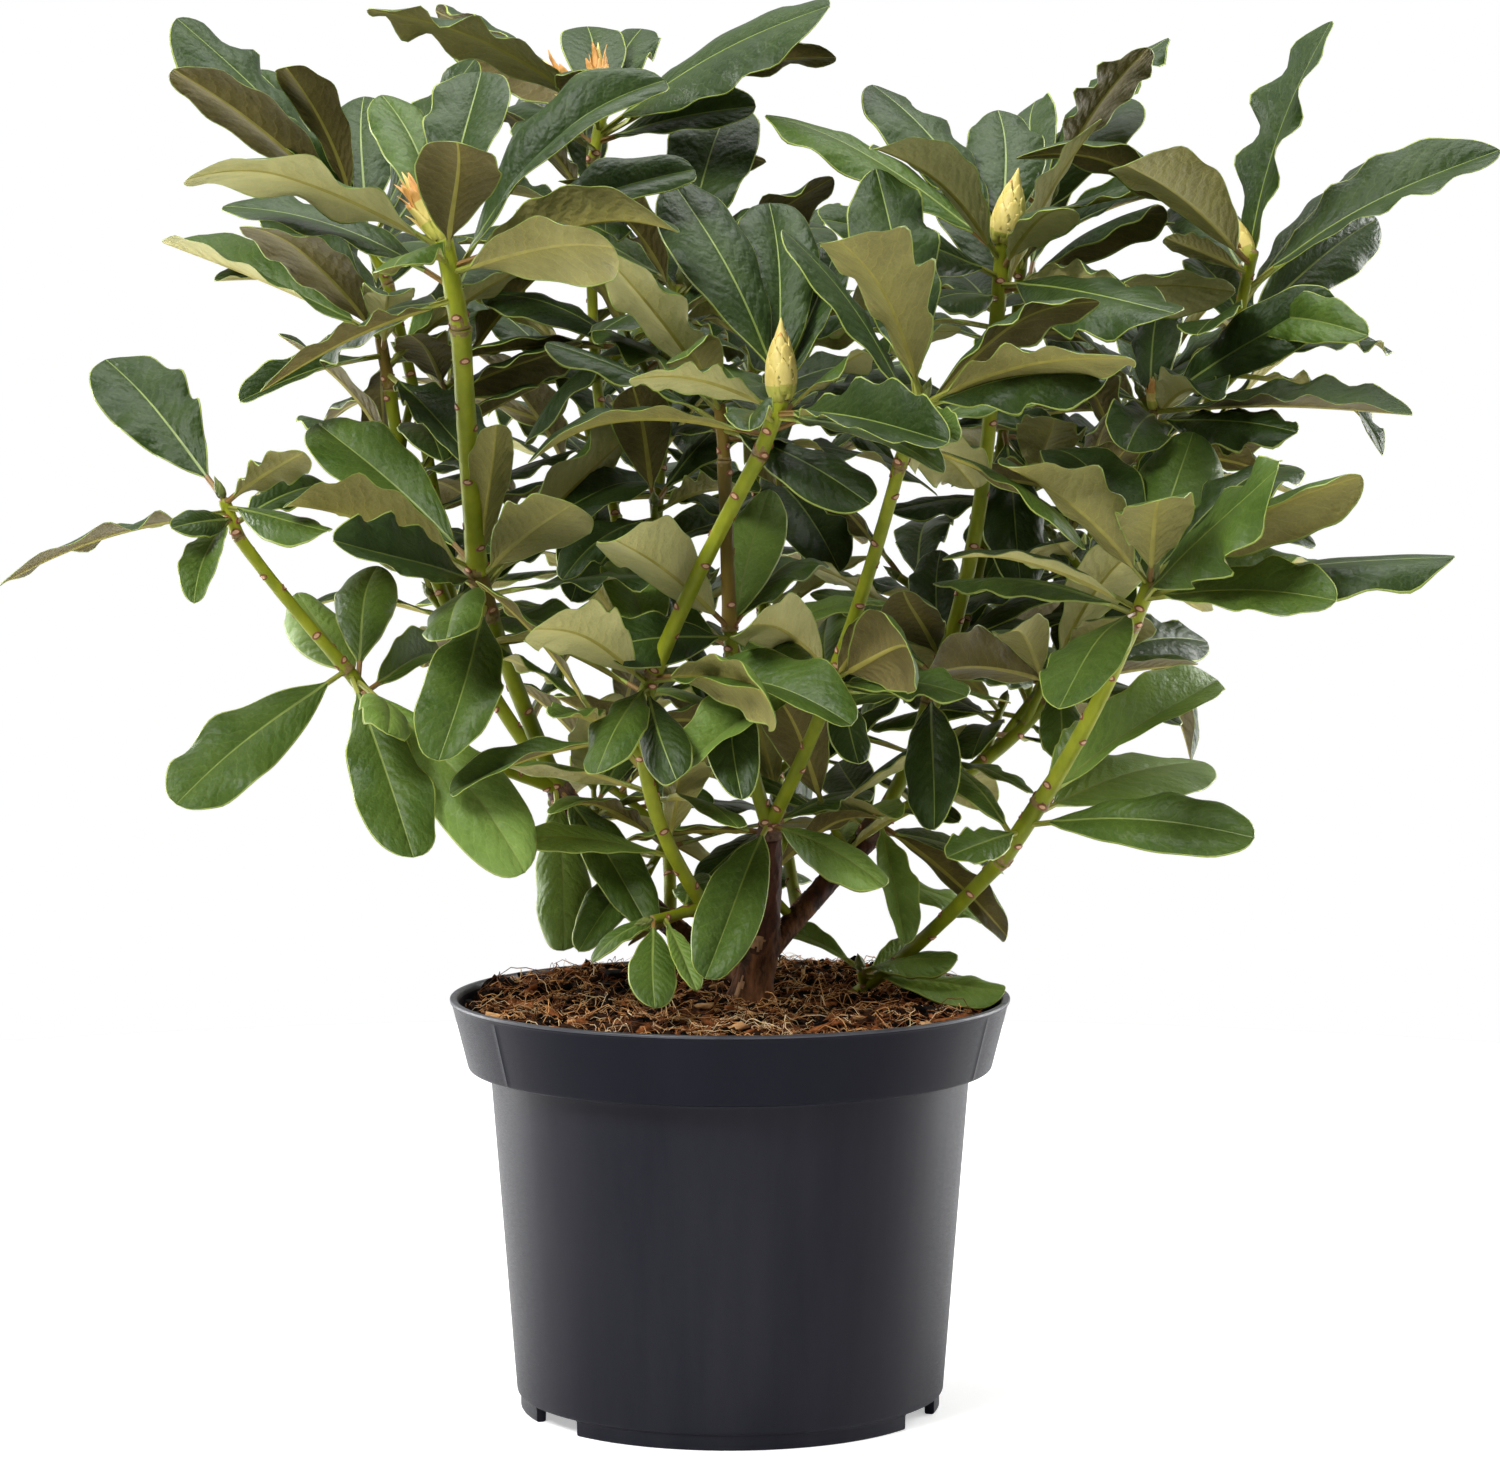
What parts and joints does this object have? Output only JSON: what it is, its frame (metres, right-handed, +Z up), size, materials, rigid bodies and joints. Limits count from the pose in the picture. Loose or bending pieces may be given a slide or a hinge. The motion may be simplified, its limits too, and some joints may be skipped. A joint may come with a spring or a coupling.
{
  "type": "potted rhododendron",
  "caption": "Young evergreen rhododendron with upright shoots, whorls of long leathery leaves and flower buds, in a round black nursery pot.",
  "frame": {"origin": "centre of the pot's underside, where it stands", "axes": "+Z up out of the pot, +X to the right of the front view along the crown's widest spread, +Y away from the front"},
  "size_m": [0.5946, 0.4481, 0.5832],
  "materials": {
    "pot": "moulded, faint satin",
    "soil": "loose peat, bark chips and fibre",
    "bark": "ridged, peeling",
    "green_stem": "smooth green bark with leaf scars",
    "foliage": "leathery, half gloss"
  },
  "bodies": {
    "root": {"pot": "pot", "soil": "soil", "trunk": "bark", "leaves_middle_fork": "foliage", "bough_left": "bark", "leaves_left_knot": "foliage", "bough_low_left": "green_stem", "leaves_low_left_node": "foliage", "bough_far_left": "green_stem", "leaves_far_left": "foliage", "bough_tall_left": "green_stem", "leaves_tall_left_node": "foliage", "bough_tall_left_top": "green_stem", "leaves_tall_left_top": "foliage", "bough_outer_left": "green_stem", "leaves_outer_left": "foliage", "bough_back_left": "green_stem", "leaves_back_left": "foliage", "bough_front": "green_stem", "leaves_foot_left": "foliage", "leaves_front_node": "foliage", "bough_front_top": "green_stem", "leaves_front_top": "foliage", "bough_inner": "green_stem", "leaves_inner": "foliage", "bough_crown": "green_stem", "leaves_crown": "foliage", "bough_middle_left": "green_stem", "leaves_middle_left_node": "foliage", "bough_middle_left_top": "green_stem", "leaves_middle_left_top": "foliage", "bough_middle_right": "green_stem", "leaves_middle_right_node": "foliage", "bough_middle_right_top": "green_stem", "leaves_middle_right_top": "foliage", "bough_right": "bark", "leaves_right_knot": "foliage", "bough_tall_right": "green_stem", "leaves_tall_right_node": "foliage", "bough_tall_right_top": "green_stem", "leaves_tall_right_top": "foliage", "bough_outer_right": "green_stem", "leaves_outer_right_node": "foliage", "bough_outer_right_top": "green_stem", "leaves_outer_right_top": "foliage", "bough_upper_right": "green_stem", "leaves_upper_right": "foliage", "bough_low_right": "green_stem", "leaves_foot_right": "foliage", "leaves_low_right_node": "foliage", "bough_far_right": "green_stem", "leaves_far_right": "foliage", "bough_rear_left": "green_stem", "leaves_rear_left": "foliage", "bough_rear_middle": "green_stem", "leaves_rear_middle": "foliage", "bough_behind_right": "green_stem", "leaves_behind_right": "foliage", "bough_rear_right": "green_stem", "leaves_rear_right": "foliage"}
  },
  "joints": []
}
